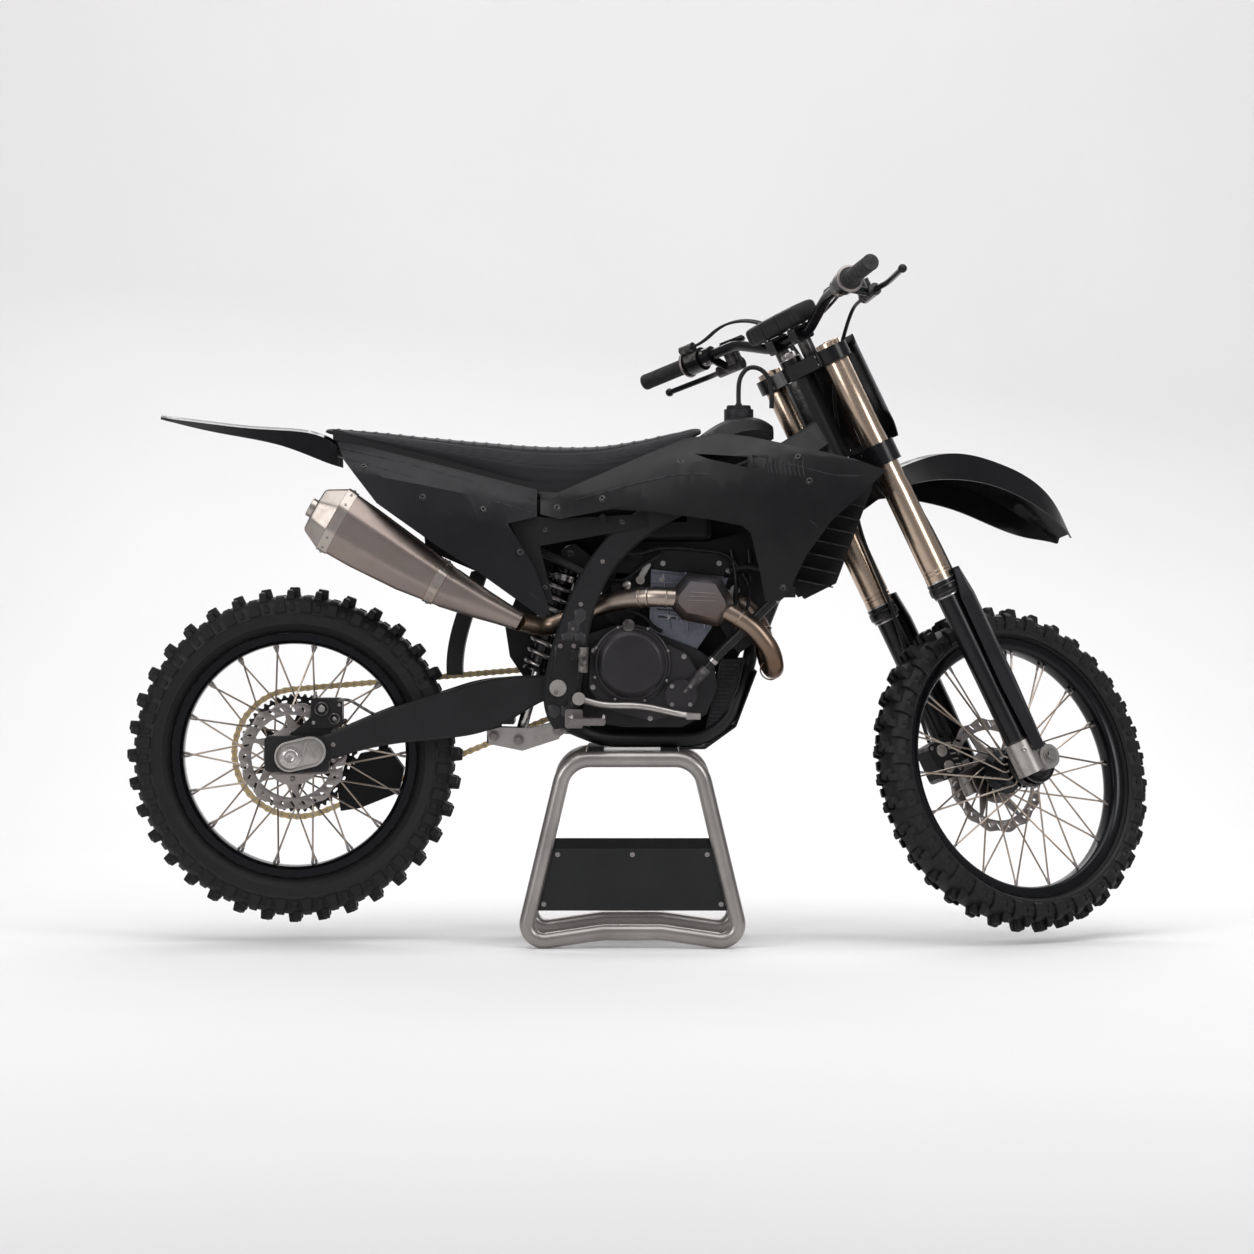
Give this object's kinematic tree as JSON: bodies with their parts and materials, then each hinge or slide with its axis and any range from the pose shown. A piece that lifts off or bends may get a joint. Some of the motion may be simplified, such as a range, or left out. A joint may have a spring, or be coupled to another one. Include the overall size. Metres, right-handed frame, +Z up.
{
  "type": "dirt bike",
  "caption": "Off-road motorcycle with knobbly tyres, long fork and tall seat, turned handlebar, held up on a tubular lift stand under its cradle.",
  "frame": {"origin": "on the floor, midway between the four bolt-down holes in the stand's feet", "axes": "+X to the front of the bike, +Y to its left, +Z up"},
  "size_m": [2.1091, 0.703, 1.3785],
  "materials": {
    "plastic_black": "moulded body panels, satin black",
    "plastic_grey": "moulded guards, dark grey",
    "frame_black": "black coat",
    "cover_grey": "dark coated covers",
    "alloy": "cast or machined alloy",
    "titanium": "heat-tinted brushed metal",
    "fork_gold": "bronze anodised tube",
    "stanchion_black": "black coated sliding tube",
    "steel": "bright steel",
    "disc_steel": "ground steel",
    "chain_gold": "gold side plates",
    "tyre_rubber": "black rubber",
    "rubber": "soft rubber",
    "rim_black": "black anodised rim",
    "seat_cover": "grippy seat cover over foam",
    "stand_steel": "silver coated tube",
    "stand_black": "black sheet"
  },
  "bodies": {
    "chassis": {"stand_frame": "stand_steel", "stand_panels": "stand_black", "stand_pads": "rubber", "main_frame": "frame_black", "cradle": "frame_black", "subframe": "frame_black", "engine_case": "cover_grey", "cylinder": "alloy", "valve_cover": "cover_grey", "engine_covers": "cover_grey", "chain": "chain_gold", "chain_guards": "plastic_black", "header": "titanium", "resonance_box": "titanium", "muffler": "titanium", "muffler_end_cap": "titanium", "radiators": "alloy", "radiator_guards": "plastic_black", "shrouds": "plastic_black", "side_panels": "plastic_black", "airbox": "plastic_black", "fuel_tank": "plastic_black", "fuel_cap": "plastic_black", "seat": "seat_cover", "rear_fender": "plastic_black", "swingarm": "frame_black", "linkage": "alloy", "rear_axle": "alloy", "shock": "steel", "rear_brake": "cover_grey", "footpegs": "steel", "foot_levers": "alloy", "skid_plate": "plastic_black", "breather_hose": "rubber"},
    "steering": {"fork_clamps": "frame_black", "outer_tubes": "fork_gold", "stanchions": "stanchion_black", "fork_feet": "alloy", "front_axle": "steel", "fork_guards": "plastic_grey", "handlebar": "frame_black", "grips": "rubber", "hand_levers": "cover_grey", "bar_pad": "rubber", "number_plate": "plastic_black", "front_fender": "plastic_black", "front_caliper": "alloy", "brake_hose": "rubber", "control_cables": "rubber"},
    "front_wheel": {"front_tyre": "tyre_rubber", "front_rim": "rim_black", "front_hub": "cover_grey", "front_spokes": "steel", "front_disc": "disc_steel"},
    "rear_wheel": {"rear_tyre": "tyre_rubber", "rear_rim": "rim_black", "rear_hub": "cover_grey", "rear_spokes": "steel", "rear_disc": "disc_steel", "rear_sprocket": "frame_black"}
  },
  "joints": [
    {"name": "steering_turn", "type": "hinge", "parent": "chassis", "child": "steering", "pos_m": [0.327, 0, 1.176], "axis": [-0.4305, 0, 0.9026], "range_deg": [-80, 8]},
    {"name": "front_wheel_spin", "type": "hinge", "parent": "steering", "child": "front_wheel", "pos_m": [0.7803, 0.03879, 0.34965], "axis": [-0.5305, 0.809, -0.253], "continuous": true},
    {"name": "rear_wheel_spin", "type": "hinge", "parent": "chassis", "child": "rear_wheel", "pos_m": [-0.689, 0, 0.381], "axis": [0, 1, 0], "continuous": true}
  ]
}
